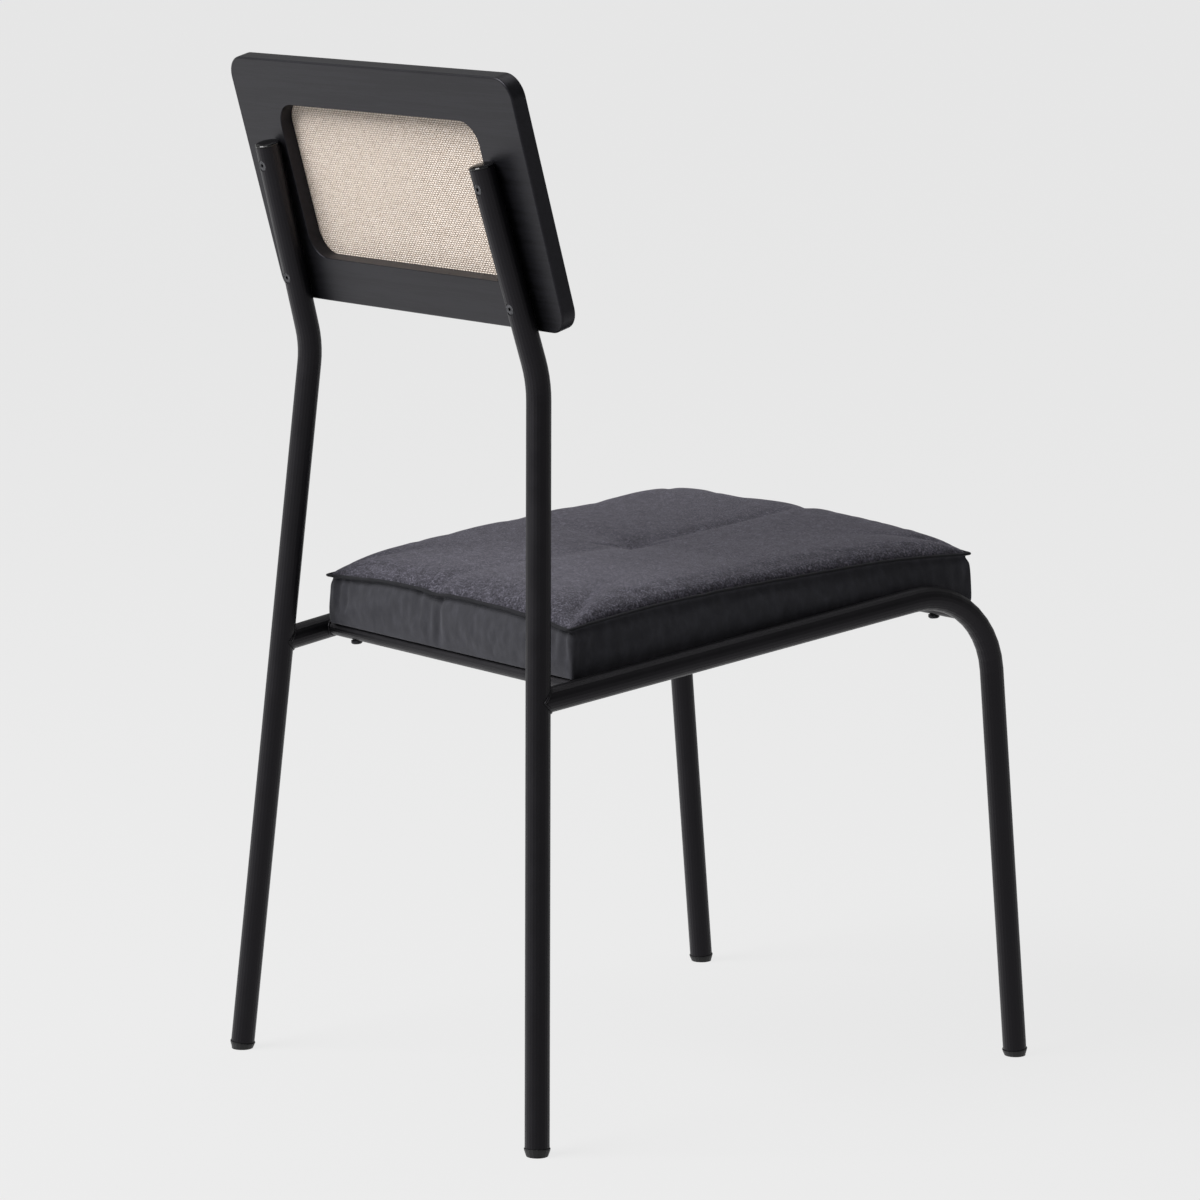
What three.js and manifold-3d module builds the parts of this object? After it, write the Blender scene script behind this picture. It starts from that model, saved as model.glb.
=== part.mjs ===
// Dining chair: bent steel tube frame, framed woven back and a thick boxed seat pad.
// Millimetres, +Z up, the chair faces -Y, origin at the bottom centre of its box.
import * as THREE from 'three';
import { mergeVertices } from 'three/addons/utils/BufferGeometryUtils.js';
import Module from 'manifold-3d';

const wasm = await Module();
wasm.setup();
const { Manifold, Mesh } = wasm;

// ---------- driving dimensions ----------
const gap = 0.3; // clearance left between any two pieces that meet
const overcut = 1; // how far a cutter runs past the face it opens
const weldDistance = 1e-4; // points closer than this are one

// main tube and where its bends and ends lie on the +X side, before centring
const tubeD = 20;
const tubeWall = 1.5;
const rearFootX = 208;
const rearFootY = 233;
const kinkX = 156;
const kinkY = 192;
const kinkZ = 605;
const kinkBend = 90;
const backLean = 16; // degrees the upper uprights lean back
const upperLength = 178;
const upperDrift = 9.5; // how far the upper uprights draw in
const frontFootX = 211;
const frontFootY = -275;
const kneeX = 209;
const kneeY = -235;
const kneeZ = 412;
const kneeBend = 74;
const railJointZ = 355;

// cross rails
const crossD = 12;
const crossWall = 1.2;
const rearCrossY = 160;
const frontCrossAlongBend = 0.51; // share of the knee bend's turn

// weld beads
const beadWidth = 2.4;
const beadHeight = 1.3;

// foot caps and top plugs
const capLipD = 21.3;
const capFloorD = 17.8;
const capHeight = 6.4;
const capLip = 1.6;
const capStem = 16;
const capRound = 0.2; // soft edges of the lip
const capShoulder = 0.4;
const plugFlange = 1.2;
const plugDome = 1.8;
const plugStem = 12;
const stemFit = 0.35; // radial room between a stem and the bore
const stemWall = 1.6;
const stemRib = 0.3; // proud of the stem, over the gap to the bore
const stemRibs = 2;
const stemRibShare = 0.3; // half a rib's length, as a share of the ribs' pitch

// back panel
const backWidth = 384;
const backHeight = 208;
const backThick = 14;
const backCornerR = 18.5;
const backEdgeRound = 1.6;
const backRise = 141.4; // panel centre above the kink, along the lean
const windowWidth = 270;
const windowHeight = 131.5;
const windowCornerR = 20;
const seatRebate = 9; // width of the front rebate round the window
const rebateCornerR = 26;
const weaveThick = 0.8;
const retainerThick = 1.3;
const retainerWidth = 7;

// back screws
const screwHeadD = 8.8;
const screwHeadCone = 1.9;
const screwHeadRim = 0.3; // straight edge above the cone
const screwShankD = 4.6;
const screwBite = 9.5; // thread length inside the panel
const screwSocket = 3;
const screwSocketDepth = 1.2;
const screwSunk = 0.9; // head face below the tube's crest
const lowerScrewRise = 62.3;
const upperScrewRise = 159.8;

// seat
const boardThick = 9;
const padSideRoom = beadWidth + gap * 2; // between the pad and the side rail, clear of the beads
const padRearOver = 7; // pad beyond the rear cross rail's axis
const padFrontOver = 16.5;
const boxingHeight = 40;
const sideBow = 9; // how far the top seam arches mid-side
const frontBow = 11;
const rearBow = 6.5;
const crownRise = 25; // over the seam's corners, were there no tuft
const crownPower = 6; // how square-shouldered the crown is
const tuftDip = 14.5;
const tuftReach = 55;
const coverThick = 1.2;
const pipingD = 3.6;
const pipingOut = 1.2;
const dustThick = 0.8;
const dustInset = 16;

// seat fixings
const boltD = 5;
const boltHeadD = 9.5;
const boltHeadH = 2.8;
const boltHeadRound = 0.8;
const boltSocket = 3;
const boltSocketDepth = 1.6;
const boltInset = 32; // from the inner face of the side rail
const nutBarrelD = 7;
const nutFlangeD = 9;
const nutFlangeThick = 0.8;
const nutBarrel = 7.5;
const foamPocket = 0.5; // foam relief round each nut flange
const tieD = 2.4;
const tieWasherD = 22;
const tieWasherThick = 1.6;

// facets
const tubeHalfSides = 12;
const bendSteps = 11;
const kinkSteps = 5;
const turnSides = 18;
const padCells = 14;
const facetSlack = 0.004; // slivers thinner than this are merged away

// ---------- small tools ----------
const v3 = (x, y, z) => new THREE.Vector3(x, y, z);
const mix = (a, b, t) => a.clone().lerp(b, t);

const toSolid = (geometry) => {
  const bare = geometry.clone();
  bare.deleteAttribute('normal');
  bare.deleteAttribute('uv');
  const welded = mergeVertices(bare, weldDistance);
  return new Manifold(new Mesh({
    numProp: 3,
    vertProperties: new Float32Array(welded.attributes.position.array),
    triVerts: new Uint32Array(welded.index.array),
  }));
};

const toGeometry = (solid) => {
  const mesh = solid.simplify(facetSlack).getMesh();
  const geometry = new THREE.BufferGeometry();
  geometry.setAttribute('position', new THREE.BufferAttribute(mesh.vertProperties, mesh.numProp));
  geometry.setIndex(new THREE.BufferAttribute(mesh.triVerts, 1));
  return geometry;
};

const cut = (body, ...tools) => tools.reduce((left, tool) => left.subtract(tool), body);

// a path through given stations, so that straight lengths need no extra sections
class StationPath extends THREE.Curve {
  constructor(stations) {
    super();
    this.stations = stations;
  }

  getPoint(t) {
    const last = this.stations.length - 1;
    const index = Math.min(Math.floor(t * last + 1e-9), last - 1);
    return mix(this.stations[index], this.stations[index + 1], t * last - index);
  }

  getPointAt(t) {
    return this.getPoint(t);
  }

  getTangentAt(t, target = new THREE.Vector3()) {
    const last = this.stations.length - 1;
    const index = Math.round(t * last);
    const before = this.stations[Math.max(index - 1, 0)];
    const here = this.stations[index];
    const after = this.stations[Math.min(index + 1, last)];
    const into = here.clone().sub(before).normalize();
    const out = after.clone().sub(here).normalize();
    return target.copy(into.add(out).normalize());
  }
}

// the stations of a corner at b, rounded with a radius
const cornerStations = (a, b, c, radius, steps) => {
  const toA = a.clone().sub(b).normalize();
  const toC = c.clone().sub(b).normalize();
  const half = toA.angleTo(toC) / 2;
  const middle = toA.clone().add(toC).normalize().multiplyScalar(radius / Math.sin(half)).add(b);
  const from = toA.multiplyScalar(radius / Math.tan(half)).add(b).sub(middle);
  const to = toC.multiplyScalar(radius / Math.tan(half)).add(b).sub(middle);
  const turn = from.angleTo(to);
  return Array.from({ length: steps + 1 }, (_, i) => {
    const share = i / steps;
    return middle.clone()
      .addScaledVector(from, Math.sin((1 - share) * turn) / Math.sin(turn))
      .addScaledVector(to, Math.sin(share * turn) / Math.sin(turn));
  });
};

const rod = (stations, diameter) => {
  const disc = new THREE.Shape();
  disc.absarc(0, 0, diameter / 2, 0, Math.PI * 2);
  return toSolid(new THREE.ExtrudeGeometry(disc, {
    steps: stations.length - 1,
    curveSegments: tubeHalfSides,
    bevelEnabled: false,
    extrudePath: new StationPath(stations),
  }));
};

// a straight cutter or pin from one point to another
const bar = (from, to, diameter) => rod([from, to], diameter);

const pipe = (stations, diameter, wall) => {
  const count = stations.length - 1;
  const long = [...stations];
  long[0] = stations[0].clone().add(stations[0].clone().sub(stations[1]).normalize());
  long[count] = stations[count].clone()
    .add(stations[count].clone().sub(stations[count - 1]).normalize());
  return cut(rod(stations, diameter), rod(long, diameter - wall * 2));
};

// a turned piece: profile of [radius, height], foot on a point, pointing along a direction
const turned = (profile, foot, along) => {
  const points = profile.map(([r, h]) => new THREE.Vector2(r, h));
  const geometry = new THREE.LatheGeometry(points, turnSides);
  geometry.applyQuaternion(new THREE.Quaternion().setFromUnitVectors(v3(0, 1, 0), along));
  geometry.translate(foot.x, foot.y, foot.z);
  const solid = toSolid(geometry);
  return solid.volume() < 0 ? toSolid(flipped(geometry)) : solid;
};

const flipped = (geometry) => {
  const out = geometry.clone();
  const index = Array.from(out.index.array);
  for (let i = 0; i < index.length; i += 3) {
    [index[i], index[i + 1]] = [index[i + 1], index[i]];
  }
  out.setIndex(index);
  return out;
};

const hexPrism = (acrossFlats, from, to) => {
  const along = to.clone().sub(from);
  const geometry = new THREE.CylinderGeometry(
    acrossFlats / Math.sqrt(3), acrossFlats / Math.sqrt(3), along.length(), 6);
  geometry.applyQuaternion(new THREE.Quaternion()
    .setFromUnitVectors(v3(0, 1, 0), along.clone().normalize()));
  const centre = mix(from, to, 0.5);
  geometry.translate(centre.x, centre.y, centre.z);
  return toSolid(geometry);
};

// ---------- pieces are collected here ----------
const group = new THREE.Group();
group.name = 'dining_chair';

const finishes = {
  steel: { color: 0x26262a, roughness: 0.45, metalness: 0.3 },
  plastic: { color: 0x141416, roughness: 0.25, metalness: 0 },
  board: { color: 0x343438, roughness: 0.6, metalness: 0 },
  weave: { color: 0xcfc0b2, roughness: 0.85, metalness: 0 },
  cloth: { color: 0x54545e, roughness: 0.95, metalness: 0 },
  foam: { color: 0xe4dcc0, roughness: 0.95, metalness: 0 },
  plywood: { color: 0xb08a5c, roughness: 0.7, metalness: 0 },
  zinc: { color: 0x9a9a9e, roughness: 0.35, metalness: 0.9 },
};

const addPiece = (name, solid, finish) => {
  const mesh = new THREE.Mesh(toGeometry(solid), new THREE.MeshStandardMaterial(finishes[finish]));
  mesh.name = name;
  group.add(mesh);
};

const mirrored = (solid) => solid.mirror([1, 0, 0]);

// +X is the sitter's left
const addPair = (stem, solid, finish) => {
  addPiece(`${stem}_left`, solid, finish);
  addPiece(`${stem}_right`, mirrored(solid), finish);
};

// ---------- axes of the bent tubes, +X side ----------
const lean = THREE.MathUtils.degToRad(backLean);
const leanUp = v3(0, Math.sin(lean), Math.cos(lean));
const leanBack = v3(0, Math.cos(lean), -Math.sin(lean));
const rearFoot = v3(rearFootX, rearFootY, 0);
const kink = v3(kinkX, kinkY, kinkZ);
const uprightTop = kink.clone().addScaledVector(leanUp, upperLength).add(v3(-upperDrift, 0, 0));
const frontFoot = v3(frontFootX, frontFootY, 0);
const knee = v3(kneeX, kneeY, kneeZ);
const railJoint = mix(rearFoot, kink, railJointZ / kinkZ);

// a point on the upper upright's axis, this far above the kink along the lean
const onUpper = (rise) => mix(kink, uprightTop, rise / upperLength);

// the end of a tube that stands in a foot cap: its lowest point clears the floor by the cap's height
const legEnd = (foot, upward) => {
  const along = upward.clone().sub(foot).normalize();
  return foot.clone().addScaledVector(along, capHeight / along.z);
};

const plugSeat = plugFlange + plugDome;
const upperAxis = uprightTop.clone().sub(kink).normalize();
const tubeTop = uprightTop.clone().addScaledVector(upperAxis, -plugSeat);
const kinkCorner = cornerStations(rearFoot, kink, uprightTop, kinkBend, kinkSteps);
const kneeCorner = cornerStations(railJoint, knee, frontFoot, kneeBend, bendSteps);
const uprightStations = [legEnd(rearFoot, kink), ...kinkCorner, tubeTop];
const sideStations = [railJoint, ...kneeCorner, legEnd(frontFoot, knee)];

// side rail axis at a depth, on its straight length
const railAt = (y) => mix(railJoint, knee, (railJoint.y - y) / (railJoint.y - knee.y));
const rearCrossEnd = railAt(rearCrossY);
const frontCrossEnd = new StationPath(kneeCorner).getPoint(frontCrossAlongBend);
const across = (end) => [v3(-end.x, end.y, end.z), end.clone()];

// ---------- seat plane: it lies on both cross rails ----------
const seatForward = v3(0, frontCrossEnd.y - rearCrossEnd.y, frontCrossEnd.z - rearCrossEnd.z);
const crossSpan = seatForward.length();
seatForward.normalize();
const seatUp = v3(1, 0, 0).cross(seatForward).multiplyScalar(-1).normalize();
const seatPoint = (x, forward, up) => v3(x, rearCrossEnd.y, rearCrossEnd.z)
  .addScaledVector(seatForward, forward)
  .addScaledVector(seatUp, up);
const boardUnder = crossD / 2 + gap;
const boardOver = boardUnder + boardThick;
const padUnder = boardUnder;
const padEdge = padUnder + boxingHeight;

// half width of the pad at a distance forward of the rear cross rail
const padHalf = (forward) => {
  const depth = seatPoint(0, forward, 0).y;
  return railAt(depth).x - tubeD / 2 - padSideRoom;
};
const padFrom = -padRearOver;
const padTo = crossSpan + padFrontOver;

// height of the pad's top: an arched seam line, a crown inside it and a tuft in the middle
const seamHeight = (s, t) => padEdge
  + sideBow * (1 - t * t) * s ** 4
  + (t > 0 ? frontBow : rearBow) * (1 - s * s) * t ** 4;
const padTop = (s, t) => {
  const crown = (1 - s ** crownPower) * (1 - t ** crownPower);
  const wide = s * padHalf(padFrom);
  const deep = t * (padTo - padFrom) / 2;
  const dip = Math.exp(-(wide * wide + deep * deep) / (tuftReach * tuftReach));
  return seamHeight(s, t) + (crownRise - tuftDip * dip) * crown;
};

// a closed pad: a tapered block with the arched top, drawn in by an inset
const padBlock = (inset, under, drop, flatTop = null) => {
  const side = padCells + 1;
  const points = [];
  const cell = (i, j, layer) => layer * side * side + i * side + j;
  for (let layer = 0; layer < 2; layer += 1) {
    for (let i = 0; i < side; i += 1) {
      for (let j = 0; j < side; j += 1) {
        const s = -1 + (2 * i) / padCells;
        const t = -1 + (2 * j) / padCells;
        const forward = THREE.MathUtils.lerp(padFrom + inset, padTo - inset, (t + 1) / 2);
        const x = s * (padHalf(forward) - inset);
        const top = flatTop === null ? padTop(s, t) - drop : flatTop;
        points.push(seatPoint(x, forward, layer ? top : under));
      }
    }
  }
  const faces = [];
  const quad = (a, b, c, d) => faces.push(a, b, c, a, c, d);
  for (let i = 0; i < padCells; i += 1) {
    for (let j = 0; j < padCells; j += 1) {
      quad(cell(i, j, 0), cell(i + 1, j, 0), cell(i + 1, j + 1, 0), cell(i, j + 1, 0));
      quad(cell(i, j, 1), cell(i, j + 1, 1), cell(i + 1, j + 1, 1), cell(i + 1, j, 1));
    }
    const last = padCells;
    quad(cell(i, 0, 0), cell(i, 0, 1), cell(i + 1, 0, 1), cell(i + 1, 0, 0));
    quad(cell(i, last, 0), cell(i + 1, last, 0), cell(i + 1, last, 1), cell(i, last, 1));
    quad(cell(0, i, 0), cell(0, i + 1, 0), cell(0, i + 1, 1), cell(0, i, 1));
    quad(cell(last, i, 0), cell(last, i, 1), cell(last, i + 1, 1), cell(last, i + 1, 0));
  }
  const geometry = new THREE.BufferGeometry();
  geometry.setAttribute('position',
    new THREE.Float32BufferAttribute(points.flatMap((p) => [p.x, p.y, p.z]), 3));
  geometry.setIndex(faces);
  const solid = toSolid(geometry);
  return solid.volume() < 0 ? toSolid(flipped(geometry)) : solid;
};

// ---------- back panel plane ----------
const panelRear = tubeD / 2 + gap; // forward of the upper uprights' axis
const panelPoint = (x, rise, depth) => v3(x, kink.y, kink.z)
  .addScaledVector(leanUp, backRise + rise)
  .addScaledVector(leanBack, -(panelRear + depth));

const roundedRect = (path, width, height, radius) => {
  const w = width / 2;
  const h = height / 2;
  path.moveTo(-w + radius, -h);
  path.lineTo(w - radius, -h);
  path.absarc(w - radius, -h + radius, radius, -Math.PI / 2, 0, false);
  path.lineTo(w, h - radius);
  path.absarc(w - radius, h - radius, radius, 0, Math.PI / 2, false);
  path.lineTo(-w + radius, h);
  path.absarc(-w + radius, h - radius, radius, Math.PI / 2, Math.PI, false);
  path.lineTo(-w, -h + radius);
  path.absarc(-w + radius, -h + radius, radius, Math.PI, Math.PI * 1.5, false);
  return path;
};

// a slab in the panel's plane, between two depths behind-to-front, with softened long edges
const panelSlab = (width, height, radius, from, to, round = 0) => {
  const outline = roundedRect(new THREE.Shape(), width - round * 2, height - round * 2,
    radius - round);
  const geometry = new THREE.ExtrudeGeometry(outline, {
    depth: to - from - round * 2,
    curveSegments: 5,
    bevelEnabled: round > 0,
    bevelThickness: round,
    bevelSize: round,
    bevelSegments: 2,
  });
  const origin = panelPoint(0, 0, from + round);
  const forward = leanBack.clone().negate();
  geometry.applyMatrix4(new THREE.Matrix4().makeBasis(
    v3(1, 0, 0), leanUp, forward).setPosition(origin));
  return toSolid(geometry);
};

// ---------- steel frame ----------
const uprightRod = rod(uprightStations, tubeD);
const sideRod = rod(sideStations, tubeD);
const clearOfUpright = rod(uprightStations, tubeD + gap * 2);
const clearOfSide = rod(sideStations, tubeD + gap * 2);

// back screws: station on the crest of the upright, pointing into the panel
const screwAt = [['upper', upperScrewRise], ['lower', lowerScrewRise]].map(([level, rise]) => ({
  level,
  head: onUpper(rise).addScaledVector(leanBack, tubeD / 2 - screwSunk),
}));
const intoPanel = leanBack.clone().negate();
const screwLength = tubeD - screwSunk + gap + screwBite;

const screwProfile = (extra) => [
  [0, 0],
  [screwHeadD / 2 + extra, 0],
  [screwHeadD / 2 + extra, screwHeadRim],
  [screwShankD / 2 + extra, screwHeadCone + screwHeadRim],
  [screwShankD / 2 + extra, screwLength + extra],
  [0, screwLength + extra],
];

// what a screw needs cleared: its own outline and the way in above its head
const screwCutter = (head) => {
  const [, ...outline] = screwProfile(gap);
  return turned([[0, -tubeWall], [outline[0][0], -tubeWall], ...outline.slice(1)],
    head, intoPanel);
};
const screwCutters = screwAt.map(({ head }) => screwCutter(head));

addPair('rear_upright', cut(pipe(uprightStations, tubeD, tubeWall), ...screwCutters), 'steel');
addPair('side_rail_leg', cut(pipe(sideStations, tubeD, tubeWall), clearOfUpright), 'steel');

const crossRails = [
  ['rear', rearCrossEnd, 0],
  ['front', frontCrossEnd, crossSpan],
];

// seat bolts: one near each end of each cross rail
const boltX = (end) => end.x - tubeD / 2 - boltInset;
const boltLow = -(crossD / 2 + gap);
const nutTop = boardOver + gap;
const boltTip = nutTop - nutFlangeThick;
const boltCutter = (x, forward) => bar(
  seatPoint(x, forward, boltLow - boltHeadH - overcut),
  seatPoint(x, forward, nutTop + overcut),
  boltD + gap * 2);

crossRails.forEach(([place, end, forward]) => {
  const x = boltX(end);
  const body = cut(
    pipe(across(end), crossD, crossWall),
    clearOfSide,
    mirrored(clearOfSide),
    boltCutter(x, forward),
    boltCutter(-x, forward));
  addPiece(`cross_rail_${place}`, body, 'steel');
});

// a weld bead: a short collar round the joining tube, shaped by the tube it meets
const bead = (from, toward, diameter, otherStations) => {
  const along = toward.clone().sub(from).normalize();
  const at = (distance) => from.clone().addScaledVector(along, distance);
  const collar = bar(at(overcut), at(tubeD), diameter + beadHeight * 2);
  const inner = bar(at(0), at(tubeD + overcut), diameter + gap * 2);
  const other = rod(otherStations, tubeD + gap * 2);
  const extent = rod(otherStations, tubeD + gap * 2 + beadWidth * 2);
  return cut(collar, inner, other).intersect(extent);
};

addPair('weld_upright', bead(railJoint, knee, tubeD, uprightStations), 'steel');
crossRails.forEach(([place, end]) => {
  addPair(`weld_cross_${place}`,
    bead(end, v3(-end.x, end.y, end.z), crossD, sideStations), 'steel');
});

// ---------- foot caps and top plugs ----------
const boreR = tubeD / 2 - tubeWall;
const stemR = boreR - stemFit;

// a hollow stem with shallow ribs, from the shoulder up
const stemProfile = (shoulder, length) => {
  const pitch = length / (stemRibs + 1);
  const ribs = Array.from({ length: stemRibs }, (_, i) => {
    const at = shoulder + pitch * (i + 1);
    return [
      [stemR - stemRib, at - pitch * stemRibShare],
      [stemR, at],
      [stemR - stemRib, at + pitch * stemRibShare],
    ];
  }).flat();
  return [
    [stemR - stemRib, shoulder],
    ...ribs,
    [stemR - stemRib, shoulder + length],
    [stemR - stemRib - stemWall, shoulder + length],
    [stemR - stemRib - stemWall, shoulder],
    [0, shoulder],
  ];
};

const footCap = (foot, upward) => {
  const end = legEnd(foot, upward);
  const along = upward.clone().sub(foot).normalize();
  const low = capHeight * 2;
  const profile = [
    [0, 0],
    [capFloorD / 2, 0],
    [capFloorD / 2, low - capHeight],
    [capLipD / 2 - capRound, low - capLip - gap],
    [capLipD / 2, low - capLip / 2 - gap],
    [capLipD / 2, low - gap - capRound],
    [capLipD / 2 - capShoulder, low - gap],
    ...stemProfile(low - gap, capStem),
  ];
  const base = end.clone().addScaledVector(along, -low);
  const floor = new THREE.BoxGeometry(tubeD * 4, tubeD * 4, tubeD * 2);
  floor.translate(foot.x, foot.y, -tubeD);
  return cut(turned(profile, base, along), toSolid(floor));
};

addPair('foot_cap_rear', footCap(rearFoot, kink), 'plastic');
addPair('foot_cap_front', footCap(frontFoot, knee), 'plastic');

const domeSteps = 4;
const domeProfile = Array.from({ length: domeSteps + 1 }, (_, i) => {
  const turn = (i / domeSteps) * (Math.PI / 2);
  return [tubeD / 2 * Math.sin(turn), plugDome * (1 - Math.cos(turn))];
});
addPair('top_plug', turned([
  ...domeProfile,
  [tubeD / 2, plugSeat - gap],
  ...stemProfile(plugSeat - gap, plugStem),
], uprightTop, upperAxis.clone().negate()), 'plastic');

// ---------- back screws ----------
screwAt.forEach(({ level, head }) => {
  const body = cut(
    turned(screwProfile(0), head, intoPanel),
    hexPrism(screwSocket, head.clone().addScaledVector(intoPanel, -overcut),
      head.clone().addScaledVector(intoPanel, screwSocketDepth)));
  addPair(`back_screw_${level}`, body, 'zinc');
});

// ---------- back panel: frame, weave, retainer ----------
const rebateDepth = gap + weaveThick + gap + retainerThick;
const rebateFrom = backThick - rebateDepth;
const rebateWidth = windowWidth + seatRebate * 2;
const rebateHeight = windowHeight + seatRebate * 2;

addPiece('back_frame', cut(
  panelSlab(backWidth, backHeight, backCornerR, 0, backThick, backEdgeRound),
  panelSlab(windowWidth, windowHeight, windowCornerR, -overcut, backThick + overcut),
  panelSlab(rebateWidth, rebateHeight, rebateCornerR, rebateFrom, backThick + overcut),
  ...screwCutters,
  ...screwCutters.map(mirrored)), 'board');

const weaveFrom = rebateFrom + gap;
addPiece('back_weave', panelSlab(
  rebateWidth - gap * 2, rebateHeight - gap * 2, rebateCornerR - gap,
  weaveFrom, weaveFrom + weaveThick), 'weave');

const retainerFrom = weaveFrom + weaveThick + gap;
const retainerOuterW = rebateWidth - gap * 2;
const retainerOuterH = rebateHeight - gap * 2;
addPiece('back_retainer', cut(
  panelSlab(retainerOuterW, retainerOuterH, rebateCornerR - gap,
    retainerFrom, retainerFrom + retainerThick),
  panelSlab(retainerOuterW - retainerWidth * 2, retainerOuterH - retainerWidth * 2,
    rebateCornerR - gap - retainerWidth, retainerFrom - overcut, backThick + overcut)), 'board');

// ---------- seat ----------
const boltSpots = crossRails.flatMap(([place, end, forward]) => [
  { name: `${place}_left`, x: boltX(end), forward },
  { name: `${place}_right`, x: -boltX(end), forward },
]);

const tieForward = (padFrom + padTo) / 2;
const tieTop = padTop(0, 0) - coverThick - gap;
const tieHole = bar(
  seatPoint(0, tieForward, -crossD),
  seatPoint(0, tieForward, tieTop + overcut),
  tieD + gap * 2);

const nutHole = ({ x, forward }) => bar(
  seatPoint(x, forward, boardUnder - overcut),
  seatPoint(x, forward, boardOver + overcut),
  nutBarrelD + gap * 2);
const boardInset = coverThick + gap;
addPiece('seat_board', cut(
  padBlock(boardInset, boardUnder, 0, boardOver),
  ...boltSpots.map(nutHole),
  tieHole), 'plywood');

const foamUnder = boardOver + gap;
addPiece('seat_foam', cut(
  padBlock(boardInset, foamUnder, coverThick + gap),
  ...boltSpots.map(({ x, forward }) => bar(
    seatPoint(x, forward, foamUnder - overcut),
    seatPoint(x, forward, foamUnder + nutFlangeThick + gap + foamPocket),
    nutFlangeD + foamPocket * 2)),
  tieHole), 'foam');

addPiece('seat_cover', cut(
  padBlock(0, padUnder, 0),
  padBlock(coverThick, padUnder - overcut, coverThick)), 'cloth');

// piping follows the seam, just outside it
const onEdge = 0.999; // share of the half width that counts as the edge
const pipingStations = () => {
  const loop = [];
  const push = (s, t) => {
    const forward = THREE.MathUtils.lerp(padFrom, padTo, (t + 1) / 2);
    loop.push({ s, t, forward, x: s * padHalf(forward), up: seamHeight(s, t) });
  };
  const turns = [[-1, -1, 1, 0], [1, -1, 0, 1], [1, 1, -1, 0], [-1, 1, 0, -1]];
  turns.forEach(([s0, t0, ds, dt]) => {
    for (let k = 0; k < padCells; k += 1) {
      push(s0 + (2 * ds * k) / padCells, t0 + (2 * dt * k) / padCells);
    }
  });
  return loop;
};

// the piping ring: a diamond section carried round the seam
const pipingRing = () => {
  const loop = pipingStations();
  const r = pipingD / 2;
  const reach = gap + pipingOut + r; // from the cover to the middle of the section
  const section = [[-r, 0], [0, -r], [r, 0], [0, r]];
  const points = [];
  loop.forEach(({ s, t, forward, x, up }) => {
    const sideways = Math.abs(s) > onEdge ? Math.sign(s) : 0;
    const endways = Math.abs(t) > onEdge ? Math.sign(t) : 0;
    section.forEach(([out, rise]) => {
      const offset = reach + out;
      points.push(seatPoint(x + sideways * offset, forward + endways * offset, up + rise));
    });
  });
  const faces = [];
  const n = loop.length;
  for (let i = 0; i < n; i += 1) {
    for (let k = 0; k < 4; k += 1) {
      const a = i * 4 + k;
      const b = i * 4 + ((k + 1) % 4);
      const c = ((i + 1) % n) * 4 + ((k + 1) % 4);
      const d = ((i + 1) % n) * 4 + k;
      faces.push(a, b, c, a, c, d);
    }
  }
  const geometry = new THREE.BufferGeometry();
  geometry.setAttribute('position',
    new THREE.Float32BufferAttribute(points.flatMap((p) => [p.x, p.y, p.z]), 3));
  geometry.setIndex(faces);
  const solid = toSolid(geometry);
  return solid.volume() < 0 ? toSolid(flipped(geometry)) : solid;
};
addPiece('seat_piping', pipingRing(), 'cloth');

// ---------- under the board: bolts, nuts, dust cloth, tuft tie ----------
const boltProfile = [
  [0, 0],
  [boltHeadD / 2 - boltHeadRound, 0],
  [boltHeadD / 2, boltHeadRound],
  [boltHeadD / 2, boltHeadH],
  [boltD / 2, boltHeadH],
  [boltD / 2, boltTip - boltLow + boltHeadH],
  [0, boltTip - boltLow + boltHeadH],
];
const nutProfile = [
  [boltD / 2 + gap, 0],
  [nutFlangeD / 2, 0],
  [nutFlangeD / 2, nutFlangeThick],
  [nutBarrelD / 2, nutFlangeThick],
  [nutBarrelD / 2, nutBarrel],
  [boltD / 2 + gap, nutBarrel],
  [boltD / 2 + gap, 0],
];
boltSpots.forEach(({ name, x, forward }) => {
  const foot = seatPoint(x, forward, boltLow - boltHeadH);
  const body = cut(
    turned(boltProfile, foot, seatUp),
    hexPrism(boltSocket, foot.clone().addScaledVector(seatUp, -overcut),
      foot.clone().addScaledVector(seatUp, boltSocketDepth)));
  addPiece(`seat_bolt_${name}`, body, 'zinc');
  addPiece(`seat_nut_${name}`, turned(nutProfile,
    seatPoint(x, forward, nutTop + nutFlangeThick), seatUp.clone().negate()), 'zinc');
});

// the cloth under the board fills the space between the two cross rails
const dustFrom = crossD / 2 + dustInset;
const dustTo = crossSpan - crossD / 2 - dustInset;
const dustCloth = () => {
  const corner = (forward, side, up) => seatPoint(
    side * (padHalf(forward) - dustInset), forward, up);
  const levels = [boardUnder - gap - dustThick, boardUnder - gap];
  const points = levels.flatMap((up) => [
    corner(dustFrom, -1, up),
    corner(dustFrom, 1, up),
    corner(dustTo, 1, up),
    corner(dustTo, -1, up),
  ]);
  const faces = [
    0, 1, 2, 0, 2, 3,
    4, 6, 5, 4, 7, 6,
    0, 4, 5, 0, 5, 1,
    1, 5, 6, 1, 6, 2,
    2, 6, 7, 2, 7, 3,
    3, 7, 4, 3, 4, 0,
  ];
  const geometry = new THREE.BufferGeometry();
  geometry.setAttribute('position',
    new THREE.Float32BufferAttribute(points.flatMap((p) => [p.x, p.y, p.z]), 3));
  geometry.setIndex(faces);
  const solid = toSolid(geometry);
  return solid.volume() < 0 ? toSolid(flipped(geometry)) : solid;
};
addPiece('seat_dust_cloth', cut(dustCloth(), tieHole), 'cloth');

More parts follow.
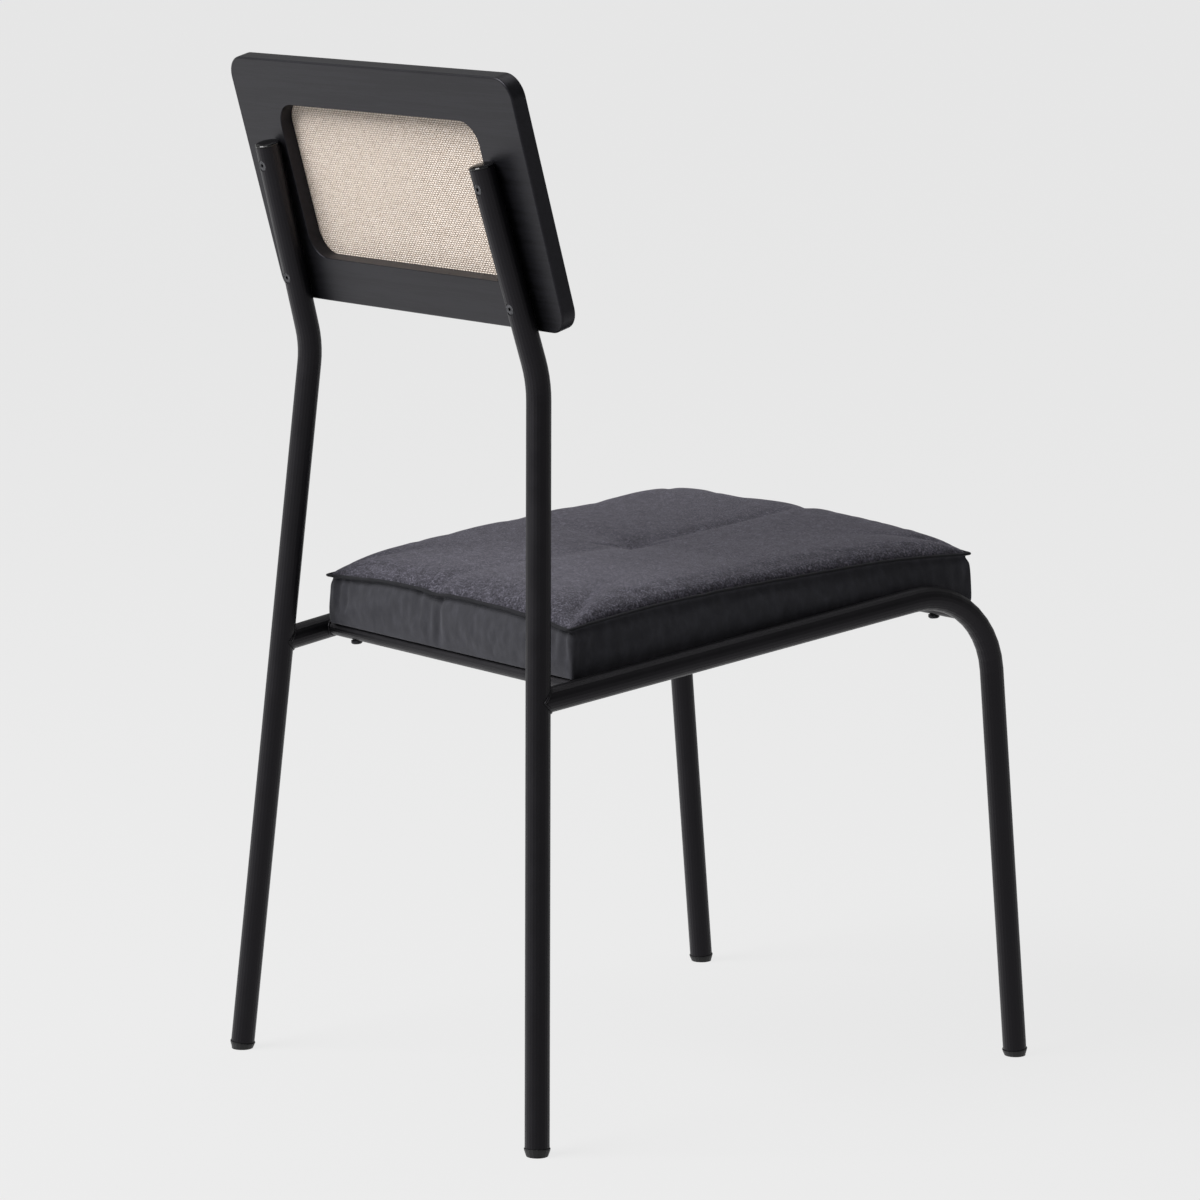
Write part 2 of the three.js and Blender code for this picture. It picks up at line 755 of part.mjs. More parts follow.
const tieFoot = boardUnder - gap - dustThick - gap - tieWasherThick;
addPiece('tuft_tie', turned([
  [0, 0],
  [tieWasherD / 2, 0],
  [tieWasherD / 2, tieWasherThick],
  [tieD / 2, tieWasherThick],
  [tieD / 2, tieTop - tieFoot],
  [0, tieTop - tieFoot],
], seatPoint(0, tieForward, tieFoot), seatUp), 'plastic');

// ---------- origin at the bottom centre of the whole ----------
const whole = new THREE.Box3().setFromObject(group);
const centre = whole.getCenter(v3(0, 0, 0));
group.children.forEach((mesh) => {
  mesh.geometry.translate(-centre.x, -centre.y, -whole.min.z);
});

export default group;
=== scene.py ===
"""Dining chair: bent steel tube frame, framed woven back, boxed seat pad tufted in the middle."""

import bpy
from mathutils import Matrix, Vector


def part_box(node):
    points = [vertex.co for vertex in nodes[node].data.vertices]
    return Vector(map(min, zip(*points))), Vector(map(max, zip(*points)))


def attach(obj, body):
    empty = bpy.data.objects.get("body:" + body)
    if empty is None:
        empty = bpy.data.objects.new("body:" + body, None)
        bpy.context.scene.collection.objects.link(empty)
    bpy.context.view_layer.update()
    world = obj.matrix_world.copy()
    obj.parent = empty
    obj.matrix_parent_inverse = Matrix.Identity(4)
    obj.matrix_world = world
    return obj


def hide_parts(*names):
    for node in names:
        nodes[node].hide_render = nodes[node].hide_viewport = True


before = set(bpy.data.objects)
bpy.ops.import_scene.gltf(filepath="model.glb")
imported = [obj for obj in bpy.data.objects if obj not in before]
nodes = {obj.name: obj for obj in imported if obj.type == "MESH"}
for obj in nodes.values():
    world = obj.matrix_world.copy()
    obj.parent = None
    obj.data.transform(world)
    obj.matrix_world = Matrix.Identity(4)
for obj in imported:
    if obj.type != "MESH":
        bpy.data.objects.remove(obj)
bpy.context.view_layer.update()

import math

import bmesh
import bpy
from mathutils import Matrix, Vector, noise

MM = 0.001


# ---------- colours and shader nodes ----------
def linear(hex_colour):
    """An sRGB hex colour as linear red, green, blue and alpha."""
    parts = [int(hex_colour[i:i + 2], 16) / 255 for i in (1, 3, 5)]
    return [c / 12.92 if c <= 0.04045 else ((c + 0.055) / 1.055) ** 2.4 for c in parts] + [1.0]


def add(tree, kind, inputs=None, **settings):
    """Adds one shader node; an input is a value or another node's output."""
    made = tree.nodes.new(kind)
    for name, value in settings.items():
        setattr(made, name, value)
    for name, value in (inputs or {}).items():
        if isinstance(value, bpy.types.NodeSocket):
            tree.links.new(value, made.inputs[name])
        else:
            made.inputs[name].default_value = value
    return made


def new_material(name):
    """An empty material with its output, ready for nodes."""
    material = bpy.data.materials.new(name)
    material.use_nodes = True
    tree = material.node_tree
    tree.nodes.clear()
    return material, tree, add(tree, "ShaderNodeOutputMaterial")


def finish_surface(tree, output, shader):
    """Joins the finished shader to the material's output."""
    tree.links.new(shader.outputs[0], output.inputs["Surface"])


def place_in_mm(tree, stretch=(1, 1, 1)):
    """Object coordinates counted in millimetres, so that a scale of 1/n has features of n mm."""
    where = add(tree, "ShaderNodeTexCoord").outputs["Object"]
    scale = [1 / MM / s for s in stretch]
    return add(tree, "ShaderNodeMapping", {"Vector": where, "Scale": scale}).outputs[0]


def grain(tree, where, size_mm, detail=2.0, rough=0.55):
    """Smooth noise whose features are size_mm across."""
    return add(tree, "ShaderNodeTexNoise", {
        "Vector": where, "Scale": 1 / size_mm, "Detail": detail, "Roughness": rough}).outputs["Fac"]


def ramp(tree, factor, stops):
    """A colour ramp; stops are (position, hex colour)."""
    made = add(tree, "ShaderNodeValToRGB", {"Fac": factor})
    band = made.color_ramp
    while len(band.elements) < len(stops):
        band.elements.new(0.5)
    for element, (position, colour) in zip(band.elements, stops):
        element.position = position
        element.color = linear(colour)
    return made.outputs["Color"]


def spread(tree, value, low, high, to_low, to_high):
    """Maps a value from one range to another, clamped."""
    return add(tree, "ShaderNodeMapRange", {
        "Value": value, "From Min": low, "From Max": high,
        "To Min": to_low, "To Max": to_high}).outputs[0]


def bump(tree, height, height_mm, strength=1.0, below=None):
    """A bump of a real height in millimetres."""
    inputs = {"Height": height, "Distance": height_mm * MM, "Strength": strength}
    if below is not None:
        inputs["Normal"] = below
    return add(tree, "ShaderNodeBump", inputs).outputs[0]


def satin_powder_coat():
    """Polyester powder coat baked on steel: near black, satin, with a faint orange peel."""
    material, tree, output = new_material("satin_powder_coat")
    where = place_in_mm(tree)
    peel = grain(tree, where, 1.4, detail=1.0)
    cloud = grain(tree, where, 22)
    shader = add(tree, "ShaderNodeBsdfPrincipled", {
        "Base Color": ramp(tree, cloud, [(0.3, "#0f0f11"), (0.7, "#131315")]),
        "Roughness": spread(tree, cloud, 0.3, 0.7, 0.40, 0.48),
        "IOR": 1.5,
        "Specular IOR Level": 0.34,
        "Specular Tint": linear("#f0eaf5"),
        "Normal": bump(tree, peel, 0.02)})
    finish_surface(tree, output, shader)
    return material


def moulded_plastic(name, colours, rough, grain_mm, height_mm):
    """Moulded polyethylene or nylon: the mould's texture shows as a fine grain."""
    material, tree, output = new_material(name)
    where = place_in_mm(tree)
    texture = grain(tree, where, grain_mm)
    shader = add(tree, "ShaderNodeBsdfPrincipled", {
        "Base Color": ramp(tree, grain(tree, where, 9), [(0.3, colours[0]), (0.7, colours[1])]),
        "Roughness": spread(tree, texture, 0.3, 0.7, rough[0], rough[1]),
        "IOR": 1.5,
        "Normal": bump(tree, texture, height_mm)})
    finish_surface(tree, output, shader)
    return material


def blackened_steel(name, colours, rough):
    """Blackened zinc on steel: dark metal, rubbed brighter here and there."""
    material, tree, output = new_material(name)
    where = place_in_mm(tree)
    rub = grain(tree, where, 2.2, detail=4.0)
    shader = add(tree, "ShaderNodeBsdfPrincipled", {
        "Base Color": ramp(tree, rub, [(0.35, colours[0]), (0.7, colours[1])]),
        "Metallic": 1.0,
        "Roughness": spread(tree, rub, 0.3, 0.7, rough[0], rough[1]),
        "Normal": bump(tree, grain(tree, where, 0.5), 0.01)})
    finish_surface(tree, output, shader)
    return material


def lacquered_board():
    """Black matt lacquer sprayed on wood: the grain still shows as faint lengthwise pores."""
    material, tree, output = new_material("matt_lacquered_board")
    along = place_in_mm(tree, stretch=(40, 1, 1))
    pores = grain(tree, along, 0.9, detail=3.0)
    figure = grain(tree, along, 5)
    spray = grain(tree, place_in_mm(tree), 0.8)
    mixed = add(tree, "ShaderNodeMath", {0: pores, 1: figure}, operation="ADD").outputs[0]
    shader = add(tree, "ShaderNodeBsdfPrincipled", {
        "Base Color": ramp(tree, mixed, [(0.80, "#101012"), (1.0, "#131315"), (1.2, "#17171a")]),
        "Roughness": spread(tree, spray, 0.3, 0.7, 0.36, 0.42),
        "IOR": 1.5,
        "Specular IOR Level": 0.33,
        "Specular Tint": linear("#e9e6f4"),
        "Normal": bump(tree, spray, 0.008, below=bump(tree, pores, 0.012))})
    finish_surface(tree, output, shader)
    return material


def woven_thread(name, colours, along):
    """Paper-like spun thread: pale, dry, with fibres along its length and slubs of tone."""
    material, tree, output = new_material(name)
    fibres = grain(tree, place_in_mm(tree, stretch=along), 0.25, detail=2.0)
    slubs = grain(tree, place_in_mm(tree, stretch=along), 1.1, detail=1.0)
    shader = add(tree, "ShaderNodeBsdfPrincipled", {
        "Base Color": ramp(tree, slubs, list(zip((0.28, 0.5, 0.72), colours))),
        "Roughness": 0.85,
        "IOR": 1.5,
        "Specular IOR Level": 0.3,
        "Normal": bump(tree, fibres, 0.06)})
    finish_surface(tree, output, shader)
    return material


def heathered_cloth():
    """Flat woven melange: dark and light fibres spun together, so the grey is flecked."""
    material, tree, output = new_material("heathered_seat_cloth")
    where = place_in_mm(tree)
    fleck = grain(tree, where, 1.8, detail=3.0, rough=0.8)
    patch = grain(tree, where, 7, detail=2.0)
    both = add(tree, "ShaderNodeMath", {
        0: fleck, 1: spread(tree, patch, 0.3, 0.7, -0.05, 0.05)}, operation="ADD").outputs[0]
    # flecks of 1.8 mm and threads every 1.1 mm: about twice the real size, so that they show
    pitch = 1.1
    warp = add(tree, "ShaderNodeTexWave", {
        "Vector": where, "Scale": math.pi / 10 / pitch * 2, "Distortion": 0.6,
        "Detail": 1.0}, bands_direction="X").outputs["Fac"]
    weft = add(tree, "ShaderNodeTexWave", {
        "Vector": where, "Scale": math.pi / 10 / pitch * 2, "Distortion": 0.6,
        "Detail": 1.0}, bands_direction="Y").outputs["Fac"]
    weave = add(tree, "ShaderNodeMath", {0: warp, 1: weft}, operation="MULTIPLY").outputs[0]
    shader = add(tree, "ShaderNodeBsdfPrincipled", {
        "Base Color": ramp(tree, both, [
            (0.34, "#151419"), (0.45, "#333239"), (0.55, "#46444d"), (0.68, "#73717d")]),
        "Roughness": 0.92,
        "IOR": 1.5,
        "Specular IOR Level": 0.2,
        "Sheen Weight": 0.40,
        "Sheen Roughness": 0.5,
        "Sheen Tint": linear("#c9c6d2"),
        "Normal": bump(tree, fleck, 0.12, below=bump(tree, weave, 0.10))})
    finish_surface(tree, output, shader)
    return material


def brushed_cloth(name, colours, sheen):
    """Short brushed pile: smoother than the top's cloth, in soft smudges where it was stroked."""
    material, tree, output = new_material(name)
    where = place_in_mm(tree)
    streak = grain(tree, place_in_mm(tree, stretch=(1, 1, 2)), 7, detail=3.0)
    fleck = grain(tree, where, 0.7)
    shader = add(tree, "ShaderNodeBsdfPrincipled", {
        "Base Color": ramp(tree, streak, list(zip((0.3, 0.5, 0.72), colours))),
        "Roughness": 0.8,
        "IOR": 1.5,
        "Specular IOR Level": 0.25,
        "Sheen Weight": sheen,
        "Sheen Roughness": 0.45,
        "Sheen Tint": linear("#c8c8d0"),
        "Normal": bump(tree, fleck, 0.16)})
    finish_surface(tree, output, shader)
    return material


def bonded_dust_cloth():
    """Spun-bonded fibre: black, dull, with pressed dots and loose fibres."""
    material, tree, output = new_material("bonded_dust_cloth")
    where = place_in_mm(tree)
    dots = add(tree, "ShaderNodeTexVoronoi", {
        "Vector": where, "Scale": 1 / 1.8}).outputs["Distance"]
    fibres = grain(tree, where, 0.5, detail=3.0)
    shader = add(tree, "ShaderNodeBsdfPrincipled", {
        "Base Color": ramp(tree, fibres, [(0.3, "#161618"), (0.7, "#242427")]),
        "Roughness": 0.95,
        "IOR": 1.5,
        "Specular IOR Level": 0.2,
        "Normal": bump(tree, dots, 0.12)})
    finish_surface(tree, output, shader)
    return material


def sanded_plywood():
    """Birch plywood, sanded and bare: pale with long brown grain."""
    material, tree, output = new_material("sanded_plywood")
    rings = grain(tree, place_in_mm(tree, stretch=(1, 30, 1)), 2.5, detail=4.0)
    shader = add(tree, "ShaderNodeBsdfPrincipled", {
        "Base Color": ramp(tree, rings, [(0.3, "#a9824f"), (0.55, "#c19b66"), (0.75, "#cda976")]),
        "Roughness": 0.7,
        "IOR": 1.5,
        "Normal": bump(tree, rings, 0.05)})
    finish_surface(tree, output, shader)
    return material


studio_white = "#e8e8e8"


def pale_floor():
    """Seamless pale studio floor, lit through so that shadows on it stay faint."""
    material, tree, output = new_material("pale_studio_floor")
    shader = add(tree, "ShaderNodeBsdfPrincipled", {
        "Base Color": linear("#454545"),
        "Roughness": 1.0,
        "Specular IOR Level": 0.0,
        "Emission Color": linear(studio_white),
        "Emission Strength": 0.965})
    finish_surface(tree, output, shader)
    return material


powder_coat = satin_powder_coat()
foot_plastic = moulded_plastic(
    "moulded_foot_plastic", ("#101012", "#161618"), (0.5, 0.6), 0.8, 0.02)
plug_plastic = moulded_plastic(
    "gloss_plug_plastic", ("#0b0b0c", "#0f0f10"), (0.12, 0.18), 1.5, 0.004)
tie_plastic = moulded_plastic("moulded_tie_plastic", ("#1a1a1a", "#222222"), (0.5, 0.6), 0.8, 0.02)
screw_steel = blackened_steel("blackened_screw_steel", ("#2a2a2c", "#6a6a6e"), (0.3, 0.45))
fixing_zinc = blackened_steel("black_zinc_fixings", ("#232325", "#4a4a4d"), (0.35, 0.5))
board = lacquered_board()
warp_thread = woven_thread("woven_back_warp", ("#b7a391", "#d8c7b7", "#eee0d3"), (1, 1, 8))
weft_thread = woven_thread("woven_back_weft", ("#e2d4c7", "#f1e5da", "#f8efe7"), (8, 1, 1))
# the ground's dark colour is painted shade, seen in the gaps between the pale threads
painted_gap_shade = woven_thread("woven_back_ground_painted_shade", ("#463b32", "#54483e", "#63564b"), (1, 1, 1))
seat_cloth = heathered_cloth()
boxing_cloth = brushed_cloth("brushed_boxing_cloth", ("#303035", "#35353a", "#3d3d43"), 0.22)
# the seam lip's cloth is coloured near black, darker than the cloth it is turned from: painted
# shade along the seam
lip_cloth_painted_shade = brushed_cloth("folded_seam_cloth_painted_shade", ("#17171a", "#1b1b1f", "#202024"), 0.08)
dust_cloth = bonded_dust_cloth()
plywood = sanded_plywood()


# ---------- making pieces ----------
def build(name, points, faces, materials, slot, face_material=None, sharp=None):
    """A mesh piece from points in millimetres, smooth shaded, riding on the chair."""
    mesh = bpy.data.meshes.new(name)
    mesh.from_pydata([Vector(p) * MM for p in points], [], faces)
    for material in materials:
        mesh.materials.append(material)
    if face_material:
        mesh.polygons.foreach_set("material_index", face_material)
    mesh.polygons.foreach_set("use_smooth", [True] * len(mesh.polygons))
    if sharp is not None:
        mesh.set_sharp_from_angle(angle=math.radians(sharp))
    mesh.update()
    piece = bpy.data.objects.new(name, mesh)
    bpy.context.scene.collection.objects.link(piece)
    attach(piece, "root")
    return piece


def ring_faces(rings, around, closed_along=False, closed_around=True, start=0):
    """Quads between neighbouring rings of points, each ring `around` points long."""
    faces = []
    for i in range(rings if closed_along else rings - 1):
        for k in range(around if closed_around else around - 1):
            here, there = start + i * around, start + ((i + 1) % rings) * around
            nxt = (k + 1) % around
            faces.append((here + k, here + nxt, there + nxt, there + k))
    return faces


def follow(path, section, up):
    """Points of a section carried round a closed path; section(i) gives (sideways, upward)."""
    points = []
    for i, here in enumerate(path):
        along = (path[(i + 1) % len(path)] - path[i - 1]).normalized()
        side = along.cross(up).normalized()
        rise = side.cross(along)
        points += [here + side * a + rise * b for a, b in section(i)]
    return points


# ---------- finishes of the pieces kept from the frame ----------
finishes = (
    ("rear_upright", powder_coat), ("side_rail", powder_coat), ("cross_rail", powder_coat),
    ("weld", powder_coat), ("foot_cap", foot_plastic), ("top_plug", plug_plastic),
    ("back_screw", screw_steel), ("back_frame", board), ("back_retainer", board),
    ("back_weave", warp_thread), ("seat_board", plywood), ("seat_bolt", fixing_zinc),
    ("seat_nut", fixing_zinc), ("tuft_tie", tie_plastic), ("seat_dust", dust_cloth),
    ("seat_foam", seat_cloth), ("seat_cover", seat_cloth), ("seat_piping", seat_cloth))


def node_finish(name):
    """The material of the node whose name starts so."""
    return next(material for start, material in finishes if name.startswith(start))


for node_name, node in nodes.items():
    node.data.materials.clear()
    node.data.materials.append(node_finish(node_name))
    node.data.polygons.foreach_set("use_smooth", [True] * len(node.data.polygons))
    node.data.set_sharp_from_angle(angle=math.radians(32))


# ---------- seat pad ----------
def middle_of(node_name):
    """The middle of a node's box, in millimetres."""
    low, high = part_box(node_name)
    return (low + high) / 2 / MM


rear_cross, front_cross = middle_of("cross_rail_rear"), middle_of("cross_rail_front")
seat_forward = (front_cross - rear_cross).normalized()
seat_up = Vector((1, 0, 0)).cross(seat_forward) * -1
cross_span = (front_cross - rear_cross).length

rail_rear = Vector((177.49, 226.40, 355.0))  # axis of the side rail where it leaves the upright
rail_front = Vector((209.0, -217.54, 412.0))  # where its straight run would meet the front leg
tube_radius = 10.0
pad_side_room = 3.0  # clear of the weld beads

pad_from, pad_to = -7.0, cross_span + 16.5  # forward of the rear cross rail
pad_middle = (pad_from + pad_to) / 2
mean_half_width, half_length = 175, 198
pad_under, board_top = 6.3, 15.3  # heights above the cross rails' axes
boxing_height = 40.0
seam_side_bow, seam_front_bow, seam_rear_bow = 9.0, 11.0, 6.5
crown_rise = 17.6
hem_reach = 24.0
join_place = 14.0  # the rear join is sewn a little to one side
join_share = join_place / 165  # as a share of half the width at the rear
most_puffed = 2.4  # how far the simulation may move the cloth


def seat_point(x, forward, up):
    """A point of the seat, which slopes as the cross rails do."""
    return Vector((x, rear_cross.y, rear_cross.z)) + seat_forward * forward + seat_up * up


def pad_half(forward):
    """Half the pad's width, this far forward of the rear cross rail."""
    y = (rear_cross + seat_forward * forward).y
    share = (rail_rear.y - y) / (rail_rear.y - rail_front.y)
    return rail_rear.x + (rail_front.x - rail_rear.x) * share - tube_radius - pad_side_room


def bell(value, width, power=2.0):
    """1 at nought, falling away smoothly past `width`."""
    return math.exp(-(abs(value) / width) ** power)


def seam_rise(s, t):
    """Height of the top seam: it arches between drooping corners and dips at the rear join."""
    side = seam_side_bow * (1 - abs(t) ** (2 if s > 0 else 3)) * s ** 4
    if t > 0:
        ends = seam_front_bow * (1 - s * s) * t ** 4
    else:
        ends = seam_rear_bow * (1 - abs(s) ** 3) * t ** 4
    join = 2.6 * bell(s - join_share, 0.05) * bell(t + 1, 0.12)
    join += 1.2 * bell(s, 0.07) * bell(t - 1, 0.12)
    return pad_under + boxing_height + side + ends - join


def pad_crown(s, t, x, deep):
    """Height of the cloth above the seam: a full crown, pulled down by the tuft and its creases."""
    full = ((1 - abs(s) ** 4.5) * (1 - abs(t) ** 4.5)) ** 0.36
    reach = math.hypot(x, deep)
    if deep > 0:  # a sharp crease from the tuft to the front
        along = (3.9 * bell(x, 7, 1.1) + 1.2 * bell(x, 34)) * bell(deep - 40, 190) * (
            0.5 + 0.5 * min(1.0, deep / 40))
    else:  # a soft valley from the tuft to the rear join
        toward_join = join_place * min(1.0, -deep / 190)
        along = 2.6 * bell(x - toward_join, 18, 1.4) * (0.5 + 0.5 * bell(deep, 120))
    side_strength = 2.3 if x > 0 else 1.8
    across = side_strength * bell(deep, 18, 1.3) * (0.35 + 0.65 * bell(x, 90))
    tuft = 2.6 * bell(reach, 26, 1.1)
    folds = 0.0
    for sx, st, strength in ((-1, -1, 6.4), (1, -1, 2.4), (-1, 1, 1.6), (1, 1, 0.2)):
        from_side = (1 - sx * s) * mean_half_width
        from_end = (1 - st * t) * half_length
        run = (from_side + from_end) / 2
        off = from_side - from_end * 0.8
        folds += strength * bell(run, 62, 2.4) * (
            0.6 * bell(off, 9 + run * 0.12, 1.6) + 0.6 * bell(off - 3, 5 + run * 0.04, 1.3))
    pull = along + across + tuft + folds
    far_corner = 3.2 * bell(s - 0.85, 0.25) * bell(t - 0.85, 0.25)
    return crown_rise * full + (far_corner - pull) * min(1.0, full * 1.6)


cells = 96
side_points = cells + 1


def place_of_cell(i, j):
    """A grid point's place from -1 to 1 across and along, and its distance forward."""
    s, t = -1 + 2 * i / cells, -1 + 2 * j / cells
    return s, t, pad_from + (t + 1) / 2 * (pad_to - pad_from)


top_grid = []
for i in range(side_points):
    for j in range(side_points):
        s, t, forward = place_of_cell(i, j)
        x = s * pad_half(forward)
        deep = forward - pad_middle
        top_grid.append(seat_point(x, forward, seam_rise(s, t) + pad_crown(s, t, x, deep)))


def edge_loop():
    """Grid points (i, j), once round the pad's edge."""
    walk = [(i, 0) for i in range(cells)] + [(cells, j) for j in range(cells)]
    walk += [(cells - i, cells) for i in range(cells)] + [(0, cells - j) for j in range(cells)]
    return walk


edge = edge_loop()
around = len(edge)


def edge_facts(i, j):
    """A grid point's place, and which side (-1 or 1) and end of the pad it lies on."""
    s, t, forward = place_of_cell(i, j)
    side = -1 if i == 0 else 1 if i == cells else 0
    end = -1 if j == 0 else 1 if j == cells else 0
    return s, t, forward, side, end


def boxing_point(k, down):
    """A point on the pad's side: `down` is 0 at the seam and 1 at the board's underside."""
    i, j = edge[k]
    s, t, forward, side, end = edge_facts(i, j)
    top = seam_rise(s, t)
    up = top + (pad_under - top) * down
    wide = pad_half(forward)
    along_x, along_f = s * wide, forward - pad_middle
    corner = (abs((pad_to - pad_from) / 2 - abs(along_f)) if side else 0) + (
        abs(wide - abs(along_x)) if end else 0)
    run = along_f if side else along_x
    # gathers near the corners, deepest under the seam
    gather = 2.3 * bell(corner, 36) * math.sin(run * 0.44 + 0.9 * math.sin(run * 0.13)) * (
        0.25 + 0.75 * (1 - down)) * math.sin(math.pi * min(1, down * 1.1 + 0.08))
    # the rear join: a sewn line with a soft crease either side
    join = 0.0
    if end == -1:
        join = 3.8 * bell(along_x - join_place + 4, 4.2) + 3.2 * bell(
            along_x - join_place - 9, 4.2) * (1 - down * 0.5)
        join += 2.4 * bell(along_x - join_place - 24, 4.6) * bell(down, 0.45)
        join *= 1 - down ** 4
    tuck = 2.4 * bell(down - 0.07, 0.05)
    belly = 2.2 * math.sin(math.pi * down) ** 0.8 * (1 - 0.55 * bell(corner, 22))
    out = belly + gather - join - tuck
    return seat_point(along_x + side * out, forward + end * out, up)


boxing_levels = [0.03, 0.06, 0.10, 0.18, 0.28, 0.38, 0.48, 0.58, 0.68, 0.78, 0.88, 0.96]
points = list(top_grid)
faces = []
face_material = []


def grid_index(i, j):
    return i * side_points + j


for i in range(cells):
    for j in range(cells):
        faces.append((grid_index(i, j), grid_index(i, j + 1), grid_index(i + 1, j + 1),
                      grid_index(i + 1, j)))
        face_material.append(0)

rings = [[grid_index(i, j) for i, j in edge]]


def add_ring(ring_points):
    first = len(points)
    points.extend(ring_points)
    rings.append(list(range(first, first + around)))


for down in boxing_levels:
    add_ring([boxing_point(k, down) for k in range(around)])


def under_point(k, up, inset):
    """A point under the pad's edge, this far in from it."""
    s, t, forward = place_of_cell(*edge[k])
    forward = pad_middle + (forward - pad_middle) * (1 - inset / ((pad_to - pad_from) / 2))
    return seat_point(s * (pad_half(forward) - inset), forward, up)


# the hem turns in under the board, then back out over it: (height, inset)
hem_levels = [(6.4, 0.15), (6.13, 0.5), (6.12, 2.0), (6.12, hem_reach - 0.6), (6.14, hem_reach),
              (6.27, hem_reach), (6.28, 2.0), (6.4, 1.36), (board_top - 0.4, 1.36),
              (board_top + 0.15, 1.5)]
for up, inset in hem_levels:
    add_ring([under_point(k, up, inset) for k in range(around)])

for r in range(len(rings) - 1):
    for k in range(around):
        nxt = (k + 1) % around
        faces.append((rings[r][k], rings[r][nxt], rings[r + 1][nxt], rings[r + 1][k]))
        face_material.append(1)

# the foam's underside lies on the board, over the hem
floor_of_pad = dict(zip(edge, rings[-1]))
for i in range(1, cells):
    for j in range(1, cells):
        s, t, forward = place_of_cell(i, j)
        floor_of_pad[i, j] = len(points)
        points.append(seat_point(s * pad_half(forward), forward, board_top + 0.15))
for i in range(cells):
    for j in range(cells):
        faces.append((floor_of_pad[i, j], floor_of_pad[i + 1, j], floor_of_pad[i + 1, j + 1],
                      floor_of_pad[i, j + 1]))
        face_material.append(1)

seat_pad = build("seat_pad", points, faces, [seat_cloth, boxing_cloth], "seat_cloth", face_material)


def outward(piece):
    """Turns every face of a closed piece to point outwards."""
    work = bmesh.new()
    work.from_mesh(piece.data)
    bmesh.ops.recalc_face_normals(work, faces=work.faces)
    work.to_mesh(piece.data)
    work.free()
    piece.data.update()


outward(seat_pad)


def settle(piece, held, most_mm, frames=20):
    """Blows the cloth up a little against what holds it, then keeps the result."""
    scene = bpy.context.scene
    start = [v.co.copy() for v in piece.data.vertices]
    group = piece.vertex_groups.new(name="held")
    group.add(held, 1.0, "REPLACE")
    cloth = piece.modifiers.new("cloth", "CLOTH")
    settings = cloth.settings
    settings.quality = 6
    settings.mass = 0.25
    settings.tension_stiffness = 12
    settings.compression_stiffness = 12
    settings.shear_stiffness = 4
    settings.bending_stiffness = 0.35
    settings.use_pressure = True
    settings.uniform_pressure_force = 4
    settings.vertex_group_mass = "held"
    settings.shrink_min = -0.009
    settings.effector_weights.gravity = 0
    cloth.collision_settings.use_collision = False
    cloth.point_cache.frame_start = 1
    cloth.point_cache.frame_end = frames
    for step in range(1, frames + 1):
        scene.frame_set(step)
    view = piece.evaluated_get(bpy.context.evaluated_depsgraph_get())
    ended = [v.co.copy() for v in view.data.vertices]
    piece.modifiers.remove(cloth)
    piece.vertex_groups.clear()
    scene.frame_set(1)
    most = most_mm * MM
    for vertex, a, b in zip(piece.data.vertices, start, ended):
        move = b - a
        if move.length > 1e-9:
            move *= most * math.tanh(move.length / most) / move.length
        vertex.co = a + move
    piece.data.update()


middle_cell = cells // 2
tuft_held = [grid_index(i, j) for i in range(middle_cell - 1, middle_cell + 2)
             for j in range(middle_cell - 1, middle_cell + 2)]
lower_held = [p for ring in rings[len(boxing_levels) - 1:] for p in ring]
settle(seat_pad, tuft_held + lower_held, most_puffed)
smoother = seat_pad.modifiers.new("one_subdivision", "SUBSURF")
smoother.levels = smoother.render_levels = 1
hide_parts("seat_cover", "seat_foam")

# the seam: the top panel's turned edge stands out as a narrow lip, with ears at the corners
seam_line = [seat_pad.data.vertices[rings[0][k]].co / MM for k in range(around)]
seam_path = []
for k in range(around):
    i, j = edge[k]
    s, t, forward, side, end = edge_facts(i, j)
    near = [seam_line[(k + step) % around] for step in (-2, -1, 0, 1, 2)]
    here = sum(near, Vector()) / 5 if not (side and end) else near[2]
    ear = 0.4 * bell((1 - abs(s)) * mean_half_width + (1 - abs(t)) * half_length, 9)
    out = 1.3 + ear
    wander = 0.25 * noise.noise(here * 0.08) + 0.12 * noise.noise(here * 0.4)
    seam_path.append(here + Vector((side * out, 0, 0)) - seat_forward * (-end * out)
                     + seat_up * (0.2 + wander))


def lip_section(i):
    """The lip's flat oval section, a little uneven along the seam."""
    swell = 1 + 0.10 * noise.noise(seam_path[i] * 0.15) + 0.05 * noise.noise(seam_path[i] * 0.9)
    wide, high = 2.2 * swell, 1.35 * swell
    return [(wide * math.cos(a), high * math.sin(a))
            for a in (2 * math.pi * n / 10 for n in range(10))]


# the lip's near black colour is painted shade of the seam's crease, not a darker cloth
seat_seam = build(
    "seat_seam_lip",
    follow(seam_path, lip_section, seat_up),
    ring_faces(around, 10, closed_along=True),
    [lip_cloth_painted_shade], "seat_cloth")
outward(seat_seam)
seam_smoother = seat_seam.modifiers.new("one_subdivision", "SUBSURF")
seam_smoother.levels = seam_smoother.render_levels = 1
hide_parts("seat_piping")


# ---------- under the seat: dust cloth and its staples ----------
cross_radius = 6.0
dust_inset = 16.0
dust_from, dust_to = cross_radius + dust_inset, cross_span - cross_radius - dust_inset


def dust_point(s, t, up):
    """A point of the dust cloth, from -1 to 1 across and along."""
    forward = dust_from + (t + 1) / 2 * (dust_to - dust_from)
    return seat_point(s * (pad_half(forward) - dust_inset), forward, up)


